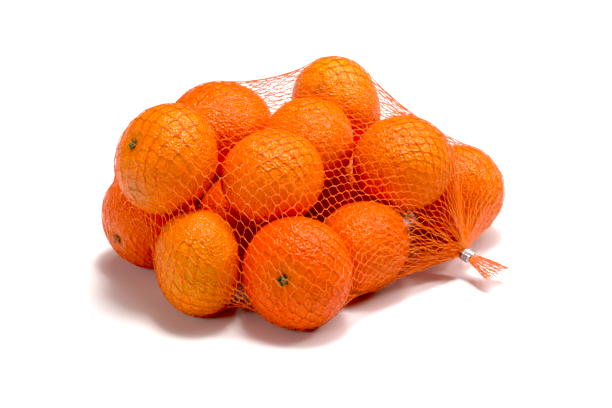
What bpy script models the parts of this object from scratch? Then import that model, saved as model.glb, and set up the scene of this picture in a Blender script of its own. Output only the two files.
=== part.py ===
"""A net bag of mandarins, lying on its side.

Eighteen uneven mandarins lie in two layers, and a knitted tube net is pulled tight
round them. The bag is one closed solid, out to the skin that the taut net makes over
the fruit. At the right the net is drawn to a point and held by a crimped clip, and a
short frayed tail of net comes out of the clip. The other end of the tube is tucked
under the fruit. Lengths are in millimetres until a mesh is made.
"""
import itertools
import math

import bmesh
import bpy
from mathutils import Matrix, Vector
from mathutils.bvhtree import BVHTree

MM = 0.001

# Each mandarin: rough place across (x) and away (y) and rough height of its centre, in
# steps of five (None where it lies on the ground), widest half width, half height from
# stem to blossom, stem direction. The heap is settled from these places.
MANDARINS = {
    "upper_left": (-85, -60, 85, 34.6, 28.8, (-0.71, -0.44, 0.56)),
    "upper_left_back": (-55, 25, 70, 36.0, 31.0, (0.10, 0.15, -0.98)),
    "upper_middle": (-20, -60, 75, 31.6, 27.4, (0.10, 0.30, -0.95)),
    "upper_middle_back": (0, -5, 70, 30.5, 27.5, (0.40, 0.50, -0.77)),
    "upper_top": (20, 55, 75, 34.0, 30.0, (0.93, 0.30, 0.20)),
    "upper_right": (60, -20, 65, 32.3, 29.0, (-0.20, 0.35, -0.91)),
    "lower_far_left": (-100, -30, None, 32.8, 29.0, (-0.74, -0.63, -0.23)),
    "lower_front_left": (-65, -90, None, 33.0, 26.4, (0.97, 0.22, 0.01)),
    "lower_front": (-5, -105, None, 33.8, 28.5, (-0.31, -0.91, 0.29)),
    "lower_front_right": (35, -60, None, 31.0, 27.5, (0.50, -0.10, -0.86)),
    "lower_far_right": (100, 15, None, 32.4, 29.0, (0.35, 0.80, -0.45)),
    "lower_core_left": (-35, -20, None, 33.2, 29.0, (0.20, 0.10, 0.97)),
    "lower_core_right": (30, 10, None, 32.6, 28.8, (0.10, -0.50, 0.86)),
    "lower_back_right": (65, 65, None, 32.0, 28.0, (0.60, 0.50, 0.60)),
    "lower_back_middle": (-20, 55, None, 31.0, 27.5, (-0.10, 0.90, 0.40)),
    "lower_back_left": (-95, 50, None, 32.0, 28.0, (-0.60, 0.60, -0.50)),
    "lower_back": (15, 105, None, 32.0, 28.5, (0.10, 0.50, -0.86)),
    "lower_back_left_middle": (-60, 100, None, 31.5, 28.0, (0.55, 0.80, 0.20)),
}
PRESSED_FLAT = 0.8  # how far a mandarin's underside is pressed in where it lies
PRESSED_TOGETHER = 0.5  # how far two mandarins that touch are pressed into each other
SETTLE_ROUNDS = 20
NET_SKIN = 1.0  # the net's threads stand this far off the peel

# The net's skin starts as the hull of all the fruit and is drawn in between them.
HEART = Vector((-4, -4, 42))  # every part of the skin can be seen from this point
SKIN_FINENESS = 5
HULL_FINENESS = 4
OUTSIDE = 400  # a distance from the heart that is well outside the bag
DRAWS = 90
DRAW_SHARE = 0.5

# The gathered end of the net, its clip and its tail follow one line.
GATHER_TIP = Vector((100, -46, 16))
GATHER_DIRECTION = Vector((0.74, -0.64, -0.20)).normalized()
TOUCH_GAP = 0.4
CLIP_LENGTH = 7.0
CLIP_HALF_WIDTH = 4.6
CLIP_HALF_THICKNESS = 3.0
CLIP_EDGE = 0.7
CLIP_EDGE_STEPS = 2
TAIL_LENGTH = 22.0
TAIL_ROOT_HALF_WIDTH = 3.0
TAIL_END_HALF_WIDTH = 10.0
TAIL_OPENING = 0.7  # below 1, the fan opens quickly at first
TAIL_HALF_THICKNESS = 1.8
TAIL_FOLDS = 5
TAIL_FOLD_DEPTH = 0.9
TAIL_RINGS = 7
TAIL_SIDES = 40


class Mandarin:
    """One mandarin: a globe pressed a little along its stem."""

    def __init__(self, across, away, height, wide, tall, stem):
        self.wide = wide
        self.tall = tall
        self.stem = Vector(stem).normalized()
        self.lies_low = height is None
        if self.lies_low:
            height = self.reach_down() - PRESSED_FLAT
        self.centre = Vector((across, away, height))

    def reach_down(self):
        """How far below the centre the lowest point of the peel is."""
        steep = self.stem.z**2
        return math.sqrt(self.wide**2 * (1 - steep) + self.tall**2 * steep)

    def reach_towards(self, way):
        """How far the peel is from the centre along a unit direction."""
        steep = way.dot(self.stem) ** 2
        return 1 / math.sqrt((1 - steep) / self.wide**2 + steep / self.tall**2)

    def shift(self, step):
        """Moves the centre; a mandarin that lies on the ground stays on it."""
        self.centre += Vector((step.x, step.y, 0 if self.lies_low else step.z))

    def to_world(self):
        """Turns a unit globe into this mandarin with the net's thread over it."""
        turn = Vector((0, 0, 1)).rotation_difference(self.stem).to_matrix().to_4x4()
        wide = self.wide + NET_SKIN
        tall = self.tall + NET_SKIN
        size = Matrix.Diagonal((wide, wide, tall, 1))
        return Matrix.Translation(self.centre) @ turn @ size

    def reach_along(self, start, direction):
        """How far along a line from start this mandarin's far side is, or 0."""
        to_globe = self.to_world().inverted()
        offset = to_globe @ start
        ray = to_globe.to_3x3() @ direction
        half = offset.dot(ray) / ray.length_squared
        rest = (offset.length_squared - 1) / ray.length_squared
        square = half * half - rest
        return max(0.0, -half + math.sqrt(square)) if square > 0 else 0.0


def settle_heap(fruit):
    """Pushes apart every two mandarins that press too far into each other."""
    for _ in range(SETTLE_ROUNDS):
        for one, other in itertools.combinations(fruit, 2):
            apart = other.centre - one.centre
            way = apart.normalized()
            touching = one.reach_towards(way) + other.reach_towards(way)
            push = max(0.0, touching - PRESSED_TOGETHER - apart.length) / 2
            one.shift(-push * way)
            other.shift(push * way)
    return fruit


def hull_of(fruit):
    """The convex hull of all the mandarins, as a tree that lines can be cast at."""
    hull = bmesh.new()
    for one in fruit:
        bmesh.ops.create_icosphere(
            hull, subdivisions=HULL_FINENESS, radius=1, matrix=one.to_world()
        )
    bmesh.ops.convex_hull(hull, input=hull.verts[:])
    tree = BVHTree.FromBMesh(hull)
    hull.free()
    return tree


def draw_in(skin, fruit, hull):
    """Places every point of a unit globe on the taut net's skin."""
    rays = [vert.co.normalized() for vert in skin.verts]
    held_out = [max(one.reach_along(HEART, ray) for one in fruit) for ray in rays]
    for vert, ray, held in zip(skin.verts, rays, held_out):
        hull_point = hull.ray_cast(HEART + ray * OUTSIDE, -ray)[0]
        vert.co = HEART + ray * max(held, (hull_point - HEART).length)
    tip_ray = (GATHER_TIP - HEART).normalized()
    tip = max(range(len(rays)), key=lambda index: rays[index].dot(tip_ray))
    for _ in range(DRAWS):
        means = [
            sum((edge.other_vert(vert).co for edge in vert.link_edges), Vector())
            / len(vert.link_edges)
            for vert in skin.verts
        ]
        for vert, ray, held, mean in zip(skin.verts, rays, held_out, means):
            inward = (mean - vert.co).dot(ray) * DRAW_SHARE
            length = max(held, (vert.co - HEART).dot(ray) + inward)
            vert.co = HEART + ray * length
            if vert.index == tip:
                vert.co = GATHER_TIP
    for vert, ray in zip(skin.verts, rays):
        if vert.co.z < 0:
            vert.co = HEART + ray * (HEART.z / -ray.z)


def net_bag(fruit):
    """The netted heap of fruit as one closed solid."""
    skin = bmesh.new()
    bmesh.ops.create_icosphere(skin, subdivisions=SKIN_FINENESS, radius=1)
    skin.verts.index_update()
    draw_in(skin, fruit, hull_of(fruit))
    return finish("net_bag", skin, principled("net", (0.90, 0.42, 0.20), 0.45))


def along_gather(distance):
    """A frame on the gather's line: x along it, y level, z across both."""
    level = Vector((0, 0, 1)).cross(GATHER_DIRECTION).normalized()
    rise = GATHER_DIRECTION.cross(level)
    turn = Matrix((GATHER_DIRECTION, level, rise)).transposed().to_4x4()
    return Matrix.Translation(GATHER_TIP + GATHER_DIRECTION * distance) @ turn


def net_clip():
    """The crimped band that holds the gathered net, with its edges eased."""
    clip = bmesh.new()
    middle = TOUCH_GAP + CLIP_LENGTH / 2
    size = Matrix.Diagonal((CLIP_LENGTH, 2 * CLIP_HALF_WIDTH, 2 * CLIP_HALF_THICKNESS, 1))
    bmesh.ops.create_cube(clip, size=1, matrix=along_gather(middle) @ size)
    bmesh.ops.bevel(
        clip,
        geom=clip.edges[:],
        offset=CLIP_EDGE,
        segments=CLIP_EDGE_STEPS,
        affect="EDGES",
        profile=0.5,
    )
    return finish("net_clip", clip, principled("clip", (0.75, 0.76, 0.78), 0.3, 1.0))


def net_tail():
    """The frayed end of the net beyond the clip: a flat fan with soft folds."""
    tail = bmesh.new()
    rings = []
    start = TOUCH_GAP + CLIP_LENGTH + TOUCH_GAP
    widening = TAIL_END_HALF_WIDTH - TAIL_ROOT_HALF_WIDTH
    for step in range(TAIL_RINGS):
        part = step / (TAIL_RINGS - 1)
        frame = along_gather(start + part * TAIL_LENGTH)
        half = TAIL_ROOT_HALF_WIDTH + widening * part**TAIL_OPENING
        ring = []
        for side in range(TAIL_SIDES):
            turn = 2 * math.pi * side / TAIL_SIDES
            across = math.cos(turn)
            fold = TAIL_FOLD_DEPTH * part * math.cos(TAIL_FOLDS * math.pi * across)
            rise = TAIL_HALF_THICKNESS * math.sin(turn) + fold
            ring.append(tail.verts.new(frame @ Vector((0, half * across, rise))))
        rings.append(ring)
    for near, far in zip(rings, rings[1:]):
        for side in range(TAIL_SIDES):
            onward = (side + 1) % TAIL_SIDES
            tail.faces.new((near[side], near[onward], far[onward], far[side]))
    tail.faces.new(rings[0][::-1])
    tail.faces.new(rings[-1])
    bmesh.ops.recalc_face_normals(tail, faces=tail.faces[:])
    return finish("net_tail", tail, principled("tail", (0.90, 0.42, 0.20), 0.45))


def finish(name, form, material):
    """Turns a mesh in millimetres into a named object in metres."""
    bmesh.ops.scale(form, vec=(MM, MM, MM), verts=form.verts[:])
    mesh = bpy.data.meshes.new(name)
    form.to_mesh(mesh)
    form.free()
    mesh.materials.append(material)
    mesh.shade_smooth()
    body = bpy.data.objects.new(name, mesh)
    bpy.context.collection.objects.link(body)
    return body


def principled(name, colour, roughness, metallic=0.0):
    """A plain material for one sub-part."""
    material = bpy.data.materials.new(name)
    material.use_nodes = True
    shader = material.node_tree.nodes["Principled BSDF"]
    shader.inputs["Base Color"].default_value = (*colour, 1)
    shader.inputs["Roughness"].default_value = roughness
    shader.inputs["Metallic"].default_value = metallic
    return material


def main():
    for old in list(bpy.data.objects):
        bpy.data.objects.remove(old, do_unlink=True)
    net_bag(settle_heap([Mandarin(*sizes) for sizes in MANDARINS.values()]))
    net_clip()
    net_tail()


main()
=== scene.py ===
# %% [markdown]
# # A net of mandarins
#
# A two kilo pack lies on its side: eighteen mandarins in two layers, and a knitted tube
# net pulled tight round them. At the right the net is drawn to a point and held in a
# crimped metal clip. This lesson builds the fruit first, then lets a loose tube of
# netting shrink round the fruit until it is taut, and last turns every yarn into a
# real thread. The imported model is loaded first, because every piece has to lie where
# its solids do; the camera and the floor come last.

import itertools
import math

import bmesh
import bpy
import numpy as np
from mathutils import Matrix, Vector
from mathutils.bvhtree import BVHTree


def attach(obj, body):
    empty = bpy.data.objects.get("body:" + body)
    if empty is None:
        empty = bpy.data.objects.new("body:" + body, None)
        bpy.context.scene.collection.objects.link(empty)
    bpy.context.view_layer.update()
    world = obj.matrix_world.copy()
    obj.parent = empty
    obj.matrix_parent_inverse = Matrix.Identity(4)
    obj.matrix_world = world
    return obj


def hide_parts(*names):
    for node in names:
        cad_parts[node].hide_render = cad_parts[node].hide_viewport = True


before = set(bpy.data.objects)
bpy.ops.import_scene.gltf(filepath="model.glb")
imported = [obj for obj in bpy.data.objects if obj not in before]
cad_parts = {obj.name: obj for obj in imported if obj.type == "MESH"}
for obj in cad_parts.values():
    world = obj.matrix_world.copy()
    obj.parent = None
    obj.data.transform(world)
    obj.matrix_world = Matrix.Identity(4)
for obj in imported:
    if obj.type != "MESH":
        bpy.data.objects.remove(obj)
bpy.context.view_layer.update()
MM = 0.001

# %% [markdown]
# ## Where each mandarin lies
#
# The fruit carries the shape of the whole pack, so its places come before anything
# else. Every row gives a mandarin's rough place across and away and the rough height of
# its middle, in steps of five (None where it lies on the ground), its widest half
# width, its half height from stem to blossom, the way its stem points, and how far its
# peel has turned from yellow orange to red orange. One could let a physics run drop the
# fruit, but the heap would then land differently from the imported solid. Instead a short
# loop settles the rough places: any two that press too far into each other are pushed
# apart, and the low ones stay on the ground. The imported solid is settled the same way.

# %% The mandarins, in millimetres
MANDARINS = {
    "upper_left": (-85, -60, 85, 34.6, 28.8, (-0.71, -0.44, 0.56), 0.24),
    "upper_left_back": (-55, 25, 70, 36.0, 31.0, (0.10, 0.15, -0.98), 0.62),
    "upper_middle": (-20, -60, 75, 31.6, 27.4, (0.10, 0.30, -0.95), 0.34),
    "upper_middle_back": (0, -5, 70, 30.5, 27.5, (0.40, 0.50, -0.77), 0.34),
    "upper_top": (20, 55, 75, 34.0, 30.0, (0.93, 0.30, 0.20), 0.32),
    "upper_right": (60, -20, 65, 32.3, 29.0, (-0.20, 0.35, -0.91), 0.26),
    "lower_far_left": (-100, -30, None, 32.8, 29.0, (-0.74, -0.63, -0.23), 0.85),
    "lower_front_left": (-65, -90, None, 33.0, 26.4, (0.97, 0.22, 0.01), 0.10),
    "lower_front": (-5, -105, None, 33.8, 28.5, (-0.31, -0.91, 0.29), 0.95),
    "lower_front_right": (35, -60, None, 31.0, 27.5, (0.50, -0.10, -0.86), 0.70),
    "lower_far_right": (100, 15, None, 32.4, 29.0, (0.35, 0.80, -0.45), 0.42),
    "lower_core_left": (-35, -20, None, 33.2, 29.0, (0.20, 0.10, 0.97), 0.85),
    "lower_core_right": (30, 10, None, 32.6, 28.8, (0.10, -0.50, 0.86), 0.85),
    "lower_back_right": (65, 65, None, 32.0, 28.0, (0.60, 0.50, 0.60), 0.35),
    "lower_back_middle": (-20, 55, None, 31.0, 27.5, (-0.10, 0.90, 0.40), 0.60),
    "lower_back_left": (-95, 50, None, 32.0, 28.0, (-0.60, 0.60, -0.50), 0.50),
    "lower_back": (15, 105, None, 32.0, 28.5, (0.10, 0.50, -0.86), 0.70),
    "lower_back_left_middle": (-60, 100, None, 31.5, 28.0, (0.55, 0.80, 0.20), 0.30),
}
PRESSED_FLAT = 0.8  # how far an underside is pressed in where it lies
PRESSED_TOGETHER = 0.5  # how far two that touch are pressed into each other
SETTLE_ROUNDS = 20


class Fruit:
    """One mandarin's place, size and unevenness, in millimetres."""

    def __init__(self, number, name, across, away, height, wide, tall, stem, red):
        self.name, self.wide, self.tall, self.red = name, wide, tall, red
        self.stem = Vector(stem).normalized()
        self.lies_low = height is None
        if self.lies_low:
            steep = self.stem.z**2
            height = math.sqrt(wide**2 * (1 - steep) + tall**2 * steep) - PRESSED_FLAT
        self.middle = Vector((across, away, height))
        self.turn = Vector((0, 0, 1)).rotation_difference(self.stem).to_matrix()
        self.turn = self.turn @ Matrix.Rotation(number * 2.4, 3, "Z")
        self.swell = np.random.default_rng(40 + number).uniform(0, 2 * math.pi, 6)

    def reach_towards(self, way):
        """How far the peel is from the middle along a unit direction."""
        steep = way.dot(self.stem) ** 2
        return 1 / math.sqrt((1 - steep) / self.wide**2 + steep / self.tall**2)

    def shift(self, step):
        """Moves the middle; a mandarin that lies on the ground stays on it."""
        self.middle += Vector((step.x, step.y, 0 if self.lies_low else step.z))

    def unevenness(self, ways):
        """How much further than an even globe the peel reaches, along unit ways."""
        x, y, z = ways[:, 0], ways[:, 1], ways[:, 2]
        a, b, c, d, e, f = self.swell
        waves = np.sin(2.3 * x + 1.3 * y + a) + np.sin(2.5 * y - 1.7 * z + b)
        waves += np.sin(2.1 * z + 1.9 * x + c) + 0.5 * np.sin(4.6 * x - 3.1 * y + d)
        waves += 0.5 * np.sin(4.4 * y + 3.3 * z + e) + 0.4 * np.sin(5.2 * z - 4 * x + f)
        return 1 + 0.0055 * waves


def settle_heap(fruit):
    """Pushes apart every two mandarins that press too far into each other."""
    for _ in range(SETTLE_ROUNDS):
        for one, other in itertools.combinations(fruit, 2):
            apart = other.middle - one.middle
            way = apart.normalized()
            touching = one.reach_towards(way) + other.reach_towards(way)
            push = max(0.0, touching - PRESSED_TOGETHER - apart.length) / 2
            one.shift(-push * way)
            other.shift(push * way)
    return fruit


fruit = [Fruit(n, name, *row) for n, (name, row) in enumerate(MANDARINS.items())]
fruit = settle_heap(fruit)
print(len(fruit), "mandarins, widths", [round(2 * one.wide) for one in fruit])

# %% [markdown]
# ## Helpers for working as by hand
#
# Operators act on whatever is selected, and loading leaves the model selected. So
# every new piece starts with nothing selected, and these helpers pick one object, pick
# part of a mesh by place, apply a modifier, or settle an object's place into its mesh,
# which is what the export wants: every finished piece sits at the origin.

# %% Selecting, applying and settling
def select_only(*objects):
    bpy.ops.object.select_all(action="DESELECT")
    for one in objects:
        one.select_set(True)
    bpy.context.view_layer.objects.active = objects[0]


def new_piece(name):
    """Names the object an operator has just added."""
    piece = bpy.context.view_layer.objects.active
    piece.name = piece.data.name = name
    return piece


def select_where(piece, wanted):
    """In edit mode, selects just the vertices whose place passes a test."""
    bpy.ops.mesh.select_mode(type="VERT")
    bpy.ops.mesh.select_all(action="DESELECT")
    form = bmesh.from_edit_mesh(piece.data)
    for vert in form.verts:
        vert.select_set(wanted(vert.co))
    form.select_flush_mode()
    bmesh.update_edit_mesh(piece.data)


def apply_modifier(piece, kind, **settings):
    select_only(piece)
    modifier = piece.modifiers.new(kind.title(), kind)
    for name, value in settings.items():
        setattr(modifier, name, value)
    bpy.ops.object.modifier_apply(modifier=modifier.name)


def settle(piece):
    """Moves an object's place, turn and size into its mesh."""
    select_only(piece)
    bpy.ops.object.transform_apply(location=True, rotation=True, scale=True)


def copy_of(piece, name):
    """A copy with its own mesh."""
    twin = piece.copy()
    twin.data = piece.data.copy()
    twin.name = twin.data.name = name
    bpy.context.collection.objects.link(twin)
    return twin


def places(mesh):
    """A mesh's vertex places as rows of numbers."""
    flat = np.empty(len(mesh.vertices) * 3, np.float32)
    mesh.vertices.foreach_get("co", flat)
    return flat.reshape(-1, 3).astype(float)


def put_places(mesh, rows):
    mesh.vertices.foreach_set("co", rows.astype(np.float32).ravel())
    mesh.update()


print("helpers ready")

# %% [markdown]
# ## The pattern mandarin
#
# A mandarin is a globe pressed a little from stem to blossom, with a hollow round the
# stem, short furrows running out of that hollow, and a shallow dent at the blossom
# end. It could be sculpted, but all eighteen share this form, so one is made from a
# globe, its two hollows are pulled in with proportional editing, and the furrows come
# from a Displace modifier that follows a vertex group. Every fruit is a copy of it.

# %% Model one mandarin on a globe of radius 1
bpy.ops.object.select_all(action="DESELECT")
bpy.ops.mesh.primitive_uv_sphere_add(segments=128, ring_count=72, radius=1)
pattern = new_piece("mandarin_pattern")

HOLLOWS = ((0.999, -0.060, 0.30), (0.999, -0.050, 0.62), (-0.999, 0.030, 0.34))
bpy.ops.object.mode_set(mode="EDIT")
for pole, pull, reach in HOLLOWS:
    select_where(pattern, lambda co: co.z * math.copysign(1, pole) > 0.93 * abs(pole)
                 and co.x**2 + co.y**2 < 0.0016)
    bpy.ops.transform.translate(
        value=(0, 0, pull),
        use_proportional_edit=True,
        proportional_edit_falloff="SMOOTH",
        proportional_size=reach,
    )
bpy.ops.object.mode_set(mode="OBJECT")
print("stem hollow reaches down to", round(max(v.co.z for v in pattern.data.vertices if
      v.co.x**2 + v.co.y**2 < 0.0016), 3))

# %% Press the furrows into its shoulder
FURROWS = 9
FURROW_DEPTH = 0.024
draw = np.random.default_rng(7)
ways = places(pattern.data)
around = np.arctan2(ways[:, 1], ways[:, 0])
out = np.hypot(ways[:, 0], ways[:, 1])
depth = np.zeros(len(ways))
for furrow in range(FURROWS):
    middle = 2 * math.pi * (furrow + draw.uniform(-0.25, 0.25)) / FURROWS
    length = draw.uniform(0.30, 0.62)
    width = draw.uniform(0.035, 0.06)
    aside = (around - middle + math.pi) % (2 * math.pi) - math.pi
    across = np.exp(-((aside * out / width) ** 2))
    along = np.clip(out / 0.12, 0, 1) * np.clip((length - out) / 0.22, 0, 1)
    depth = np.maximum(depth, across * along * draw.uniform(0.6, 1.0))
depth[ways[:, 2] < 0] = 0
group = pattern.vertex_groups.new(name="furrows")
for index, weight in enumerate(depth):
    if weight > 0.01:
        group.add([index], float(weight), "REPLACE")
apply_modifier(pattern, "DISPLACE", vertex_group="furrows", strength=-FURROW_DEPTH,
               mid_level=0)
print(FURROWS, "furrows over", int((depth > 0.01).sum()), "points")

# %% [markdown]
# ## Each fruit's colour, and painted light on two of them
#
# No two mandarins are one colour: some are yellow orange, some red orange, most are
# paler where the sun missed them, and a few carry a rubbed or brown mark. Two also
# carry painted light: brighter yellow patches on the top and upper front, where the
# light falls. An even colour per fruit would look moulded. So each point of the peel
# stores its own colour in an attribute, mixed from the fruit's ripeness, slow waves,
# a paler stem end, the marks that this fruit has and the painted light. The material
# adds only fine detail.

# %% Peel colours, marks and painted light
YELLOW_PEEL = np.array((0.95, 0.245, 0.002))
RED_PEEL = np.array((0.93, 0.115, 0.003))
GREEN_PEEL = np.array((0.66, 0.21, 0.003))
# Each mark, real or painted light: the way it faces, how wide it is in radians, how strong,
# and its colour.
PEEL_MARKS_AND_PAINTED_LIGHT = {
    "upper_left": [((-0.55, -0.78, -0.29), 0.30, 0.75, (0.52, 0.21, 0.07))],
    "upper_top": [
        ((-0.34, -0.70, 0.63), 0.14, 0.95, (0.34, 0.09, 0.04)),
        # painted light: a brighter yellow patch on top, where the overhead light falls
        ((-0.05, -0.20, 0.98), 0.75, 0.60, (1.00, 0.36, 0.02)),
        # painted light: a brighter yellow patch on the upper front, where light falls
        ((0.35, -0.70, 0.62), 0.38, 0.50, (1.00, 0.38, 0.05)),
    ],
    "upper_middle": [((-0.65, -0.58, 0.49), 0.07, 0.60, (0.30, 0.22, 0.10))],
    "lower_front_left": [((0.10, -0.95, 0.28), 0.75, 0.60, (0.74, 0.235, 0.003))],
    # painted light: a brighter yellow patch on the upper front, where light falls
    "lower_front_right": [((-0.1, -0.8, 0.55), 0.35, 0.30, (1.00, 0.30, 0.01))],
}


def colours_and_painted_light(one, mesh):
    """A colour for each point of one fruit's peel, painted light included."""
    rows = places(mesh) / MM - np.array(one.middle)
    ways = rows / np.linalg.norm(rows, axis=1, keepdims=True)
    a, b, c, d, e, f = one.swell
    waves = np.sin(3.1 * ways[:, 0] + 2 * ways[:, 2] + b) * np.sin(
        2.7 * ways[:, 1] + 1.6 * ways[:, 0] + d
    )
    waves += 0.6 * np.sin(6.3 * ways[:, 2] + 4.1 * ways[:, 1] + f)
    red = np.clip(one.red + 0.10 * waves, 0, 1)[:, None]
    colour = YELLOW_PEEL * (1 - red) + RED_PEEL * red
    stem_end = np.clip((ways @ np.array(one.stem) - 0.86) / 0.14, 0, 1)[:, None]
    colour = colour * (1 - 0.35 * stem_end) + GREEN_PEEL * 0.35 * stem_end
    # real scars and scuffs, and on two fruits painted light: brighter yellow where light
    # falls
    for way, width, strength, tint in PEEL_MARKS_AND_PAINTED_LIGHT.get(one.name, ()):
        way = np.array(way) / np.linalg.norm(way)
        apart = np.arccos(np.clip(ways @ way, -1, 1))
        share = strength * np.exp(-((apart / width) ** 2))[:, None]
        colour = colour * (1 - share) + np.array(tint) * share
    return np.clip(colour, 0, 1)


def store_colours(mesh, name, colours):
    attribute = mesh.color_attributes.new(name, "FLOAT_COLOR", "POINT")
    rgba = np.ones((len(colours), 4), np.float32)
    rgba[:, :3] = colours
    attribute.data.foreach_set("color", rgba.ravel())


print("marks on", sorted(PEEL_MARKS_AND_PAINTED_LIGHT))

# %% [markdown]
# ## Eighteen mandarins
#
# Each copy is made uneven, then scaled, turned and moved to its place, and a slow
# cloud pattern in a Displace modifier gives the loose, puffed surface of a mandarin.
# Its underside is pressed flat where it lies. A sculpting brush could do the same by
# hand, but a pattern that reads each point's place never repeats between fruits.

# %% Make the copies
PUFF_SIZE = 0.011
PUFF_HEIGHT = 0.0011
UNDERSIDE = 0.3  # an underside lies this far above the floor, on the net's yarns
clouds = bpy.data.textures.new("peel_puffs", type="CLOUDS")
clouds.noise_scale = PUFF_SIZE
clouds.noise_depth = 1


def mandarin(one):
    """One mandarin, in its place, with its peel colours and painted light."""
    piece = copy_of(pattern, "mandarin_" + one.name)
    ways = places(piece.data)
    turned = ways @ np.array(one.turn).T
    turned /= np.linalg.norm(turned, axis=1, keepdims=True)
    put_places(piece.data, ways * one.unevenness(turned)[:, None])
    size = Matrix.Diagonal((one.wide, one.wide, one.tall, 1))
    place = Matrix.Translation(one.middle) @ one.turn.to_4x4() @ size
    piece.matrix_world = Matrix.Scale(MM, 4) @ place
    settle(piece)
    apply_modifier(piece, "DISPLACE", texture=clouds, texture_coords="LOCAL",
                   strength=PUFF_HEIGHT, mid_level=0.62)
    rows = places(piece.data)
    rows[:, 2] = np.maximum(rows[:, 2], UNDERSIDE * MM)
    put_places(piece.data, rows)
    piece.data.shade_smooth()
    piece.vertex_groups.clear()
    store_colours(piece.data, "peel_colour_and_painted_light", colours_and_painted_light(one, piece.data))
    return piece


mandarins = [mandarin(one) for one in fruit]
bpy.data.objects.remove(pattern, do_unlink=True)
print(len(mandarins), "mandarins of", len(mandarins[0].data.polygons), "faces each")

# %% [markdown]
# ## Stem buttons
#
# Where a mandarin was cut from its twig, a green brown button stays in the hollow: a
# flat five pointed cap with the stub of the twig in its middle. A disc with its rim
# pulled into points, thickened and smoothed, reads as this even when it is tiny. It is
# modelled once and set into every hollow; one mesh holds all of them.

# %% Model one button and copy it to each stem
BUTTON_POINTS = 5
BUTTON_RIM = 3.1
bpy.ops.object.select_all(action="DESELECT")
bpy.ops.mesh.primitive_circle_add(
    vertices=BUTTON_POINTS * 4, radius=BUTTON_RIM, fill_type="NGON"
)
button = new_piece("stem_button")
bpy.ops.object.mode_set(mode="EDIT")
bpy.ops.mesh.inset(thickness=1.2)
bpy.ops.mesh.inset(thickness=0.75)
bpy.ops.mesh.extrude_region_move(TRANSFORM_OT_translate={"value": (0, 0, 0.9)})
bpy.ops.transform.resize(value=(0.82, 0.82, 1))
bpy.ops.mesh.inset(thickness=0.35)
bpy.ops.transform.translate(value=(0, 0, -0.3))
bpy.ops.mesh.poke()
bpy.ops.object.mode_set(mode="OBJECT")
for vert in button.data.vertices:
    out = math.hypot(vert.co.x, vert.co.y)
    if out > 1.0 and vert.co.z < 0.1:
        turn = math.atan2(vert.co.y, vert.co.x) * BUTTON_POINTS
        grow = 1 + 0.24 * math.cos(turn) * out / BUTTON_RIM
        vert.co.x, vert.co.y = vert.co.x * grow, vert.co.y * grow
        vert.co.z = 0.55 * max(0, out * grow - 2.0) ** 1.4 - 0.1 * math.cos(turn)
apply_modifier(button, "SOLIDIFY", thickness=0.5, offset=-1)
apply_modifier(button, "SUBSURF", levels=1, render_levels=1)
print("button of", len(button.data.polygons), "faces")

BUTTON_SINK = 0.905  # of the half height: the floor of the stem hollow
buttons = []
for one in fruit:
    twin = copy_of(button, "button_" + one.name)
    sink = one.tall * BUTTON_SINK * one.unevenness(np.array([one.stem]))[0]
    place = Matrix.Translation(one.middle + one.stem * sink) @ one.turn.to_4x4()
    twin.matrix_world = Matrix.Scale(MM, 4) @ place
    settle(twin)
    buttons.append(twin)
bpy.data.objects.remove(button, do_unlink=True)
select_only(*buttons)
bpy.ops.object.join()
stem_buttons = new_piece("stem_buttons")
stem_buttons.data.shade_smooth()
print(len(fruit), "buttons in one piece")

# %% [markdown]
# ## The net: a tube of joints and strands
#
# Netting like this is knitted as a tube. Neighbouring yarns zigzag, and each meets the
# yarn on its left and the yarn on its right in turn, where the two run side by side for
# a stitch. Pulled open, that gives a honeycomb of long cells. An image of a net on a
# smooth skin would not bridge from fruit to fruit. A cloth simulation might, but with
# about eleven thousand strands it may be slow, so the net is solved here by rules of its
# own: a grid of joints, each tied to four others by strands that can neither stretch nor
# vanish. The rows run from the tucked left end to the clip, and odd rows sit half a cell
# aside.

# %% Lay the joints round the heap
ROWS, COLUMNS = 70, 78
HEART = np.array((-4, -4, 42.0))
TUCKED_END = np.array((-86, -28, 1.5))
GATHER_TIP = np.array((100, -46, 16.0))
GATHER_WAY = np.array((0.74, -0.64, -0.20))
GATHER_WAY /= np.linalg.norm(GATHER_WAY)
END_SPREAD = 0.10  # radians from each end's middle to the first row
STANDING_OFF = 6.0  # the net starts this far outside the bag
WELL_OUTSIDE = 0.4  # metres from the heart


def unit(rows):
    return rows / np.linalg.norm(rows, axis=-1, keepdims=True)


def rays_from_heart():
    """Ways to every joint: circles that open from one end and close on the other."""
    left, right = unit(TUCKED_END - HEART), unit(GATHER_TIP - HEART)
    between = unit(left + right)
    x = unit(right - left)
    z = np.cross(x, between)
    flat = [complex(way @ x, way @ z) / (1 + way @ between) for way in (left, right)]
    spread = np.linspace(END_SPREAD, math.pi - END_SPREAD, ROWS)
    rays = np.zeros((ROWS, COLUMNS, 3))
    for row, reach in enumerate(np.tan(spread / 2)):
        turns = 2 * math.pi * (np.arange(COLUMNS) + 0.5 * (row % 2)) / COLUMNS
        spot = reach * np.exp(1j * turns)
        spot = (flat[0] + spot * flat[1]) / (1 + spot)
        size = np.abs(spot)[:, None] ** 2
        way = 2 * spot.real[:, None] * x + 2 * spot.imag[:, None] * z
        rays[row] = (way + (1 - size) * between) / (1 + size)
    return rays


bag_form = bmesh.new()
bag_form.from_mesh(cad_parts["net_bag"].data)
bag_skin = BVHTree.FromBMesh(bag_form)
bag_form.free()
rays = rays_from_heart()
joints = np.zeros_like(rays)
for row in range(ROWS):
    for column in range(COLUMNS):
        ray = Vector(rays[row, column])
        hit = bag_skin.ray_cast(Vector(HEART * MM) + ray * WELL_OUTSIDE, -ray)[0]
        joints[row, column] = np.array(hit) / MM + np.array(ray) * STANDING_OFF
print(ROWS * COLUMNS, "joints laid round the bag")

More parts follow.
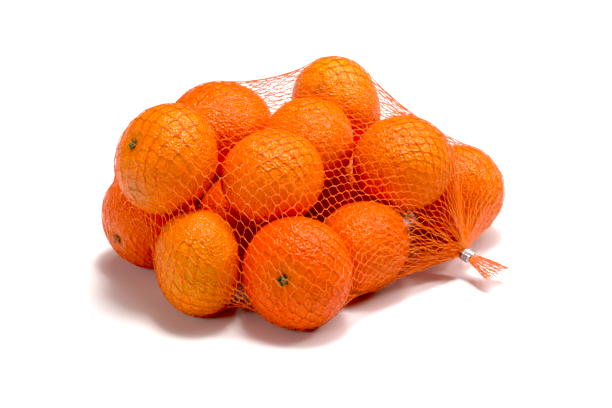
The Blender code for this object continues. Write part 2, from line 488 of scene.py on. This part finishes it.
# %% [markdown]
# ## Pull the net tight
#
# Tension draws every joint towards the middle of its four neighbours. A strand that
# has grown too long pulls its two joints together, one that has become too short
# pushes them apart, and no joint may sink into a mandarin or the ground. Only the two
# end rings are free of these rules, as they are held in place. Repeating the rules over
# and over is position based relaxation, an idea that some cloth solvers share. The net
# ends up tight over the fruit, straight across the hollows, and bunched where the tube
# has more netting than it needs.

# %% The three rules
LONGEST, SHORTEST = 6.8, 5.1
SLACK_HEIGHT = 12.0  # below this, strands may bunch up under the fruit
NET_LIFT = 0.45  # the thread's middle stands this far off the peel
ROUNDS, UNEVEN_ROUNDS = 1150, 250
UNEQUAL = 0.20  # how much one strand's length differs from another's
TUCKED_RADIUS, GATHER_RADIUS = 3.0, 3.2  # of the ring that closes each end
even_rows = np.arange(0, ROWS - 1, 2)
odd_rows = np.arange(1, ROWS - 1, 2)
STRANDS = ((even_rows, 1), (even_rows, 0), (odd_rows, 0), (odd_rows, -1))
knitting = np.random.default_rng(11)
strand_shares = [
    np.clip(knitting.normal(1, UNEQUAL, (len(rows), COLUMNS)), 0.7, 1.3)
    for rows, _ in STRANDS
]


def end_ring(middle, way, radius, nearest, odd):
    """A small ring of joints at one end of the tube, turned to suit the next row."""
    side = unit(np.cross(way, (0, 0, 1)))
    rise = np.cross(side, way)
    best, best_fit = None, -math.inf
    for flip in (1, -1):
        for shift in range(COLUMNS):
            turns = 2 * math.pi * (np.arange(COLUMNS) + 0.5 * odd + shift) / COLUMNS * flip
            ring = middle + radius * (
                np.cos(turns)[:, None] * side + np.sin(turns)[:, None] * rise
            )
            fit = ((ring - middle) * (nearest - nearest.mean(0))).sum()
            if fit > best_fit:
                best, best_fit = ring, fit
    return best


def draw_to_middle(net):
    """Moves every joint a quarter of the way to the middle of its neighbours."""
    onward, back = np.zeros_like(net), np.zeros_like(net)
    onward[even_rows] = (np.roll(net[even_rows + 1], 1, axis=1) + net[even_rows + 1]) / 2
    onward[odd_rows] = (net[odd_rows + 1] + np.roll(net[odd_rows + 1], -1, axis=1)) / 2
    evens, odds = np.arange(2, ROWS, 2), np.arange(1, ROWS, 2)
    back[evens] = (np.roll(net[evens - 1], 1, axis=1) + net[evens - 1]) / 2
    back[odds] = (net[odds - 1] + np.roll(net[odds - 1], -1, axis=1)) / 2
    net[1:-1] += 0.25 * ((onward[1:-1] + back[1:-1]) / 2 - net[1:-1])


def hold_lengths(net):
    """Keeps every strand between its shortest and longest length."""
    for (rows, shift), share in zip(STRANDS, strand_shares):
        near, far = net[rows], np.roll(net[rows + 1], shift, axis=1)
        gap = far - near
        length = np.linalg.norm(gap, axis=-1)
        height = (near[..., 2] + far[..., 2]) / 2
        least = SHORTEST * np.clip((height - 2) / (SLACK_HEIGHT - 2), 0.1, 1)
        wanted = np.clip(length, least * share, LONGEST * share)
        push = gap * ((length - wanted) / np.maximum(length, 1e-6) / 2)[..., None]
        net[rows] = near + push
        net[rows + 1] = np.roll(far - push, -shift, axis=1)


def keep_outside(points, uneven):
    """Lifts joints that have sunk into a mandarin or the ground."""
    for one in fruit:
        offset = points - np.array(one.middle)
        reach = one.wide * 1.04 + NET_LIFT
        near = (offset * offset).sum(-1) < reach**2
        if not near.any():
            continue
        part = offset[near]
        along = part @ np.array(one.stem)
        across = (part * part).sum(-1) - along**2
        depth = np.sqrt(across / (one.wide + NET_LIFT) ** 2
                        + along**2 / (one.tall + NET_LIFT) ** 2)
        if uneven:
            depth = depth / one.unevenness(unit(part))
        lift = np.where(depth < 1, 1 / np.maximum(depth, 1e-6), 1)
        points[near] = np.array(one.middle) + part * lift[:, None]
    points[:, 2] = np.maximum(points[:, 2], NET_LIFT)
    return points


tucked_ring = end_ring(TUCKED_END, unit(TUCKED_END - HEART), TUCKED_RADIUS,
                       joints[0], 0)
gather_ring = end_ring(GATHER_TIP, GATHER_WAY, GATHER_RADIUS, joints[-1], (ROWS - 1) % 2)
for turn in range(ROUNDS):
    draw_to_middle(joints)
    for _ in range(2):
        hold_lengths(joints)
        joints[0], joints[-1] = tucked_ring, gather_ring
    inner = joints[1:-1].reshape(-1, 3)
    joints[1:-1] = keep_outside(inner, turn > ROUNDS - UNEVEN_ROUNDS).reshape(
        ROWS - 2, COLUMNS, 3
    )
lengths = np.concatenate([
    np.linalg.norm(np.roll(joints[rows + 1], shift, axis=1) - joints[rows], axis=-1).ravel()
    for rows, shift in STRANDS
])
print("strands", np.round(np.percentile(lengths, (5, 50, 95)), 2), "mm, net from",
      np.round(joints.min((0, 1))), "to", np.round(joints.max((0, 1))))

# %% [markdown]
# ## Turn the joints into yarns
#
# Each column of joints carries two yarns. One stays with its own column, the other
# leans over to the column on its left at every odd row, and at a joint the two lie
# side by side. A curve object is the natural way to make a yarn: it needs only the
# places it passes through, and its bevel gives it thickness. The curves become meshes
# at the end, so the export has real surfaces. The net is split in two pieces, the
# yarns that stay and the yarns that lean, to keep each mesh a workable size.

# %% Find where the two yarns pass each joint
YARN = 0.235  # half the thickness of a yarn
YARN_GAP = 0.02  # half the gap between two yarns that run side by side
STITCH = 1.05  # half the length over which two yarns run side by side
STITCH_SHARE, STITCH_LEAST = 0.3, 0.15  # where strands are short, stitches are too


def neighbours(net):
    """For each joint, its two joints onward and its two joints back, left then right."""
    onward_left, onward_right = np.zeros_like(net), np.zeros_like(net)
    back_left, back_right = np.zeros_like(net), np.zeros_like(net)
    for row in range(ROWS):
        lean = 1 if row % 2 == 0 else 0
        nearer, further = min(row + 1, ROWS - 1), max(row - 1, 0)
        onward_left[row] = np.roll(net[nearer], lean, axis=0)
        onward_right[row] = np.roll(net[nearer], lean - 1, axis=0)
        back_left[row] = np.roll(net[further], lean, axis=0)
        back_right[row] = np.roll(net[further], lean - 1, axis=0)
    return onward_left, onward_right, back_left, back_right


onward_left, onward_right, back_left, back_right = neighbours(joints)
along = unit(onward_left + onward_right - back_left - back_right + 1e-9)
along[0], along[-1] = along[1], along[-2]
aside = onward_right + back_right - onward_left - back_left
aside -= (aside * along).sum(-1, keepdims=True) * along
aside[0], aside[-1] = aside[1], aside[-2]
aside = unit(aside + 1e-9)
print("yarns meet at", joints.shape[0] * joints.shape[1], "stitches")

# %% Draw the yarns as curves and make them meshes
ON_THE_GROUND = 0.05  # yarns under the fruit lie this far above the floor


def yarn_curve(name, lines, half_thick):
    """Threads through lists of points in millimetres, as one mesh piece."""
    curve = bpy.data.curves.new(name, "CURVE")
    curve.dimensions = "3D"
    curve.bevel_depth = half_thick * MM
    curve.bevel_resolution = 0
    curve.use_fill_caps = True
    for line in lines:
        spline = curve.splines.new("POLY")
        spline.points.add(len(line) - 1)
        rows = np.ones((len(line), 4), np.float32)
        rows[:, :3] = np.array(line) * MM
        spline.points.foreach_set("co", rows.ravel())
        spline.use_smooth = True
    piece = bpy.data.objects.new(name, curve)
    bpy.context.collection.objects.link(piece)
    select_only(piece)
    bpy.ops.object.convert(target="MESH")
    piece = bpy.context.view_layer.objects.active
    rows = places(piece.data)
    rows[:, 2] = np.maximum(rows[:, 2], ON_THE_GROUND * MM)
    put_places(piece.data, rows)
    return piece


def yarn_path(column, leans):
    """The points one yarn passes, from the tucked end to the clip."""
    points = []
    for row in range(ROWS):
        at = (column - leans * (row % 2)) % COLUMNS
        # An even row's right hand yarn stays; in an odd row it is the left hand one.
        hand = 1 if (row % 2 == 0) != bool(leans) else -1
        middle = joints[row, at] + aside[row, at] * (YARN + YARN_GAP) * hand
        strand = np.linalg.norm(onward_left[row, at] - joints[row, at])
        half = min(STITCH, STITCH_SHARE * strand + STITCH_LEAST)
        points.append(middle - along[row, at] * half)
        points.append(middle + along[row, at] * half)
    points = np.array(points)
    points[:, 2] = np.maximum(points[:, 2], YARN + ON_THE_GROUND)
    return points


net_yarns = []
for name, leans in (("net_yarns_staying", 0), ("net_yarns_leaning", 1)):
    lines = [yarn_path(column, leans) for column in range(COLUMNS)]
    net_yarns.append(yarn_curve(name, lines, YARN))
print("net pieces of", [len(one.data.polygons) for one in net_yarns], "faces")

# %% [markdown]
# ## The clip and the frayed tail
#
# Where the net is drawn to a point, a soft metal band is crimped round it, and a short
# tail of netting fans out beyond. The band starts as a block, gets its ribs in edit
# mode by drawing alternate cuts inwards, and a Subdivision Surface modifier rounds it.
# The tail is made of yarns again: pairs that meet and part as in the net, then fray.
# Both are built along the gather's own line, x along it, and then moved there.

# %% Crimp the band
BAND_START, BAND_LENGTH = 0.4, 7.0
BAND_SIZE = (BAND_LENGTH, 9.2, 6.0)
RIB_CUTS = 8


def gather_frame(distance):
    """A place on the gather's line: x along it, y level, z across both."""
    way = Vector(GATHER_WAY)
    level = Vector((0, 0, 1)).cross(way).normalized()
    turn = Matrix((way, level, way.cross(level))).transposed().to_4x4()
    return Matrix.Translation(Vector(GATHER_TIP) + way * distance) @ turn


bpy.ops.object.select_all(action="DESELECT")
bpy.ops.mesh.primitive_cube_add(size=1, scale=BAND_SIZE)
band = new_piece("net_clip_band")
settle(band)
bpy.ops.object.mode_set(mode="EDIT")
bpy.ops.mesh.subdivide(number_cuts=RIB_CUTS - 1)
bpy.ops.mesh.select_mode(type="VERT")
for cut in range(1, RIB_CUTS, 2):
    at = BAND_SIZE[0] * (cut / RIB_CUTS - 0.5)
    select_where(band, lambda co: abs(co.x - at) < 0.2)
    bpy.ops.transform.resize(value=(1, 0.93, 0.84))
select_where(band, lambda co: abs(co.x) > BAND_SIZE[0] / 2 - 0.1)
bpy.ops.transform.resize(value=(1, 0.92, 0.88))
# The seam where the band's two ends meet runs along the top.
select_where(band, lambda co: co.z > 2 and abs(co.y) < 0.3)
bpy.ops.transform.translate(value=(0, 0, -0.7))
bpy.ops.object.mode_set(mode="OBJECT")
apply_modifier(band, "SUBSURF", levels=2, render_levels=2)
band.matrix_world = Matrix.Scale(MM, 4) @ gather_frame(BAND_START + BAND_LENGTH / 2)
settle(band)
band.data.shade_smooth()
print("band of", len(band.data.polygons), "faces")

# %% Fan out the tail
TAIL_START, TAIL_LENGTH = 6.0, 23.0
TAIL_YARNS, TAIL_ROWS = 64, 8
TAIL_HALF_WIDTHS = (2.9, 10.0)
TAIL_HALF_THICK = 1.5
TAIL_FOLDS, TAIL_FOLD_DEPTH = 5, 0.9
fray = np.random.default_rng(21)
tail_lines = []
for yarn in range(TAIL_YARNS):
    reach = TAIL_LENGTH * fray.uniform(0.72, 1.0)
    drift = fray.normal(0, 0.05)
    line = []
    for row in range(TAIL_ROWS):
        part = row / (TAIL_ROWS - 1)
        lean = 0.42 if (row + yarn) % 2 else -0.42
        turn = 2 * math.pi * (yarn + 0.5 + lean * min(1, 2 * part)) / TAIL_YARNS
        half = TAIL_HALF_WIDTHS[0] + (TAIL_HALF_WIDTHS[1] - TAIL_HALF_WIDTHS[0]) * part**0.7
        across = math.cos(turn) + drift * part
        fold = TAIL_FOLD_DEPTH * part * math.cos(TAIL_FOLDS * math.pi * across)
        thick = TAIL_HALF_THICK * (1 - 0.3 * part)
        for step in (-0.11, 0.11):
            spot = Vector((TAIL_START + reach * (part + step / (TAIL_ROWS - 1)),
                           half * across, thick * math.sin(turn) + fold))
            line.append(gather_frame(0) @ spot)
    tail_lines.append(line)
tail = yarn_curve("net_tail_yarns", tail_lines, YARN)
print("tail of", len(tail.data.polygons), "faces")

# %% [markdown]
# ## Finishes
#
# The peel is waxy: broad soft light sits on it, broken into sparkle by its oil glands.
# The glands are far too small and many to model, so a bump from rounded cells makes
# them, about a millimetre and a half apart, and the same cells darken the colour a
# little in each dent: partly the glands' own tone, partly painted shade in the pits.
# The colour itself, painted light included, comes from the colour attribute stored on
# each peel. The yarns are thin orange polyethylene, the clip is soft aluminium, and
# the buttons are dry plant skin. Every pattern reads Object coordinates, so nothing
# slides.

# %% A small kit for node materials
def fresh_material(name, **sockets):
    """A material with one Principled shader and constant values on its sockets."""
    material = bpy.data.materials.new(name)
    material.use_nodes = True
    shader = material.node_tree.nodes["Principled BSDF"]
    for socket, value in sockets.items():
        shader.inputs[socket.replace("_", " ")].default_value = value
    return material, shader


def add_node(material, kind, **settings):
    """Adds a node; names that are sockets are set or linked, the rest are options."""
    node = material.node_tree.nodes.new(kind)
    for name, value in settings.items():
        label = name.replace("_", " ")
        if isinstance(value, bpy.types.NodeSocket):
            material.node_tree.links.new(value, node.inputs[label])
        elif label in node.inputs and not hasattr(node, name):
            node.inputs[label].default_value = value
        else:
            setattr(node, name, value)
    return node


def link(material, source, target):
    material.node_tree.links.new(source, target)


def object_place(material):
    return add_node(material, "ShaderNodeTexCoord").outputs["Object"]


def spread_between(material, source, low, high, out_low, out_high):
    """Maps a value from one range to another."""
    node = add_node(material, "ShaderNodeMapRange")
    link(material, source, node.inputs["Value"])
    for socket, value in (("From Min", low), ("From Max", high),
                          ("To Min", out_low), ("To Max", out_high)):
        node.inputs[socket].default_value = value
    return node.outputs["Result"]


def shade_colour(material, colour, factor, tint, blend):
    """Mixes a colour into another by a factor."""
    node = add_node(material, "ShaderNodeMix", data_type="RGBA", blend_type=blend)
    link(material, colour, node.inputs[6])
    link(material, factor, node.inputs[0])
    node.inputs[7].default_value = (*tint, 1)
    return node.outputs[2]


print("material helpers ready")

# %% Peel
GLANDS_PER_METRE = 640
peel, shader = fresh_material("peel", Roughness=0.28, Specular_IOR_Level=0.30,
                              Subsurface_Weight=0.06, Subsurface_Scale=0.003,
                              Coat_Weight=0.12, Coat_Roughness=0.12)
shader.inputs["Subsurface Radius"].default_value = (1.0, 0.35, 0.08)
spot = object_place(peel)
# the stored colour holds painted light on the tops and fronts of two fruits
stored = add_node(peel, "ShaderNodeAttribute", attribute_name="peel_colour_and_painted_light")
glands = add_node(peel, "ShaderNodeTexVoronoi", feature="SMOOTH_F1", Vector=spot,
                  Scale=GLANDS_PER_METRE, Smoothness=0.35, Randomness=0.85)
mottle = add_node(peel, "ShaderNodeTexNoise", Vector=spot, Scale=150.0, Detail=4.0)
fine = add_node(peel, "ShaderNodeTexNoise", Vector=spot, Scale=900.0, Detail=2.0)
deep = spread_between(peel, mottle.outputs["Fac"], 0.40, 0.70, 0, 0.38)
colour = shade_colour(peel, stored.outputs["Color"], deep, (0.95, 0.72, 0.5), "MULTIPLY")
# darker in each gland's dent: partly the gland's own tone, partly painted shade in the pit
gland_tone_and_pit_shade = spread_between(peel, glands.outputs["Distance"], 0.08, 0.42, 0.55, 0)
colour = shade_colour(peel, colour, gland_tone_and_pit_shade, (0.90, 0.62, 0.3), "MULTIPLY")
link(peel, colour, shader.inputs["Base Color"])
gloss = spread_between(peel, mottle.outputs["Fac"], 0.3, 0.7, 0.18, 0.32)
link(peel, gloss, shader.inputs["Roughness"])
dents = add_node(peel, "ShaderNodeBump", Strength=1.0, Distance=0.0007)
link(peel, glands.outputs["Distance"], dents.inputs["Height"])
grain = add_node(peel, "ShaderNodeBump", Strength=0.6, Distance=0.0004)
link(peel, fine.outputs["Fac"], grain.inputs["Height"])
link(peel, dents.outputs["Normal"], grain.inputs["Normal"])
link(peel, grain.outputs["Normal"], shader.inputs["Normal"])
link(peel, grain.outputs["Normal"], shader.inputs["Coat Normal"])
print("peel nodes:", len(peel.node_tree.nodes))

# %% Yarn, clip and stem
yarn, shader = fresh_material("net_yarn", Roughness=0.30, Specular_IOR_Level=0.45,
                              Subsurface_Weight=0.15, Subsurface_Scale=0.001)
shader.inputs["Subsurface Radius"].default_value = (1.0, 0.4, 0.2)
spot = object_place(yarn)
twist = add_node(yarn, "ShaderNodeTexNoise", Vector=spot, Scale=350.0, Detail=2.0)
shades = add_node(yarn, "ShaderNodeValToRGB")
shades.color_ramp.elements[0].position = 0.35
shades.color_ramp.elements[0].color = (0.94, 0.130, 0.012, 1)
shades.color_ramp.elements[1].position = 0.68
shades.color_ramp.elements[1].color = (1.00, 0.29, 0.065, 1)
link(yarn, twist.outputs["Fac"], shades.inputs["Fac"])
link(yarn, shades.outputs["Color"], shader.inputs["Base Color"])

clip, shader = fresh_material("clip_aluminium", Metallic=1.0, Roughness=0.34)
spot = object_place(clip)
scuff = add_node(clip, "ShaderNodeTexNoise", Vector=spot, Scale=900.0, Detail=5.0)
shades = add_node(clip, "ShaderNodeValToRGB")
shades.color_ramp.elements[0].color = (0.34, 0.35, 0.36, 1)
shades.color_ramp.elements[1].color = (0.66, 0.67, 0.68, 1)
link(clip, scuff.outputs["Fac"], shades.inputs["Fac"])
link(clip, shades.outputs["Color"], shader.inputs["Base Color"])
link(clip, spread_between(clip, scuff.outputs["Fac"], 0.3, 0.7, 0.25, 0.5),
     shader.inputs["Roughness"])
dents = add_node(clip, "ShaderNodeBump", Strength=0.3, Distance=0.0002)
link(clip, scuff.outputs["Fac"], dents.inputs["Height"])
link(clip, dents.outputs["Normal"], shader.inputs["Normal"])

stem, shader = fresh_material("stem_button", Roughness=0.7)
spot = object_place(stem)
skin = add_node(stem, "ShaderNodeTexNoise", Vector=spot, Scale=700.0, Detail=4.0)
shades = add_node(stem, "ShaderNodeValToRGB")
shades.color_ramp.elements[0].position = 0.40
shades.color_ramp.elements[0].color = (0.012, 0.020, 0.006, 1)
shades.color_ramp.elements[1].position = 0.70
shades.color_ramp.elements[1].color = (0.42, 0.42, 0.26, 1)
shades.color_ramp.elements.new(0.54).color = (0.10, 0.14, 0.04, 1)
link(stem, skin.outputs["Fac"], shades.inputs["Fac"])
link(stem, shades.outputs["Color"], shader.inputs["Base Color"])
dents = add_node(stem, "ShaderNodeBump", Strength=0.6, Distance=0.0004)
link(stem, skin.outputs["Fac"], dents.inputs["Height"])
link(stem, dents.outputs["Normal"], shader.inputs["Normal"])
print("finishes:", [one.name for one in (peel, yarn, clip, stem)])

# %% [markdown]
# ## Join the pieces to the imported model
#
# Every piece gets its material and rides on the model's one body. The solid of the
# imported model that it stands for is hidden, but stays in the physics model.

# %% Ride and replace
FITTED = (
    [(one, peel, "net_bag", "peel") for one in mandarins]
    + [(stem_buttons, stem, "net_bag", "stem")]
    + [(one, yarn, "net_bag", "net") for one in net_yarns]
    + [(band, clip, "net_clip", "clip"), (tail, yarn, "net_tail", "net")]
)
for piece, material, node, slot in FITTED:
    piece.data.materials.clear()
    piece.data.materials.append(material)
    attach(piece, "root")
    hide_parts(node)
faces = sum(len(face.vertices) - 2 for piece, *_ in FITTED for face in piece.data.polygons)
print(len(FITTED), "pieces,", faces, "triangles")

# %% [markdown]
# ## Floor, light and camera
#
# The pack lies on a white floor, wide enough for the camera to miss its edges. A light
# to the right and above makes the bright sparkle on each fruit's upper right, and one
# overhead lights the tops and whitens the floor. Two more at the left open the shadows:
# a small one in front, and a wide low panel that reaches the left edges. A weak sun
# with a very wide disc stands in for an even ceiling. The plain view transform keeps
# oranges as saturated as they are; the filmic one would dull them.

# %% Set the stage
DEEPEST = 0.040  # light weaker than this shows as black, as it does on film
view = bpy.context.scene.view_settings
view.view_transform = "Standard"
view.use_curve_mapping = True
view.curve_mapping.black_level = (DEEPEST,) * 3
view.curve_mapping.update()
bpy.ops.object.select_all(action="DESELECT")
bpy.ops.mesh.primitive_plane_add(size=8)
floor = new_piece("floor")
ground, shader = fresh_material("white_ground", Roughness=0.9, Specular_IOR_Level=0.1)
shader.inputs["Base Color"].default_value = (0.92, 0.92, 0.92, 1)
floor.data.materials.append(ground)

ROOM_LIGHT = 0.08
world = bpy.data.worlds.new("soft_room")
world.use_nodes = True
world.node_tree.nodes["Background"].inputs["Color"].default_value = (1, 1, 1, 1)
world.node_tree.nodes["Background"].inputs["Strength"].default_value = ROOM_LIGHT
bpy.context.scene.world = world

AIM = Vector((0, -0.03, 0.045))
# Each soft light: where it stands, its width, and its power.
LIGHTS = {
    "right_window": ((0.95, 0.10, 0.80), 0.24, 5.2),
    "left_fill": ((-0.75, -0.95, 0.75), 0.18, 2.4),
    "left_panel": ((-1.10, -0.35, 0.12), 0.90, 5.0),
    "overhead": ((0.10, 0.05, 1.30), 0.30, 12.5),
}
CEILING_POWER = 1.7
CEILING_WIDTH = math.radians(50)
for name, (place, width, power) in LIGHTS.items():
    bpy.ops.object.light_add(type="AREA", location=place)
    lamp = bpy.context.view_layer.objects.active
    lamp.name = name
    lamp.data.size = width
    lamp.data.energy = power
    lamp.rotation_euler = (Vector(place) - AIM).to_track_quat("Z", "Y").to_euler()
bpy.ops.object.light_add(type="SUN", location=(0, 0, 1.5))
lamp = bpy.context.view_layer.objects.active
lamp.name = "even_ceiling"
lamp.data.energy = CEILING_POWER
lamp.data.angle = CEILING_WIDTH
lamp.rotation_euler = (math.radians(-12), math.radians(14), 0)
print("lights:", sorted(LIGHTS))

# %% Place the camera
CAMERA_AIM = Vector((0, -0.033, 0.044))
CAMERA_DISTANCE = 0.92
CAMERA_TILT = math.radians(25)
back = Vector((0, -math.cos(CAMERA_TILT), math.sin(CAMERA_TILT)))
bpy.ops.object.camera_add(location=CAMERA_AIM + back * CAMERA_DISTANCE)
camera = bpy.context.view_layer.objects.active
camera.data.lens = 85
camera.data.sensor_width = 36
camera.data.clip_start = 0.01
camera.rotation_euler = back.to_track_quat("Z", "Y").to_euler()
bpy.context.scene.camera = camera
print("camera at", [round(v, 3) for v in camera.location])
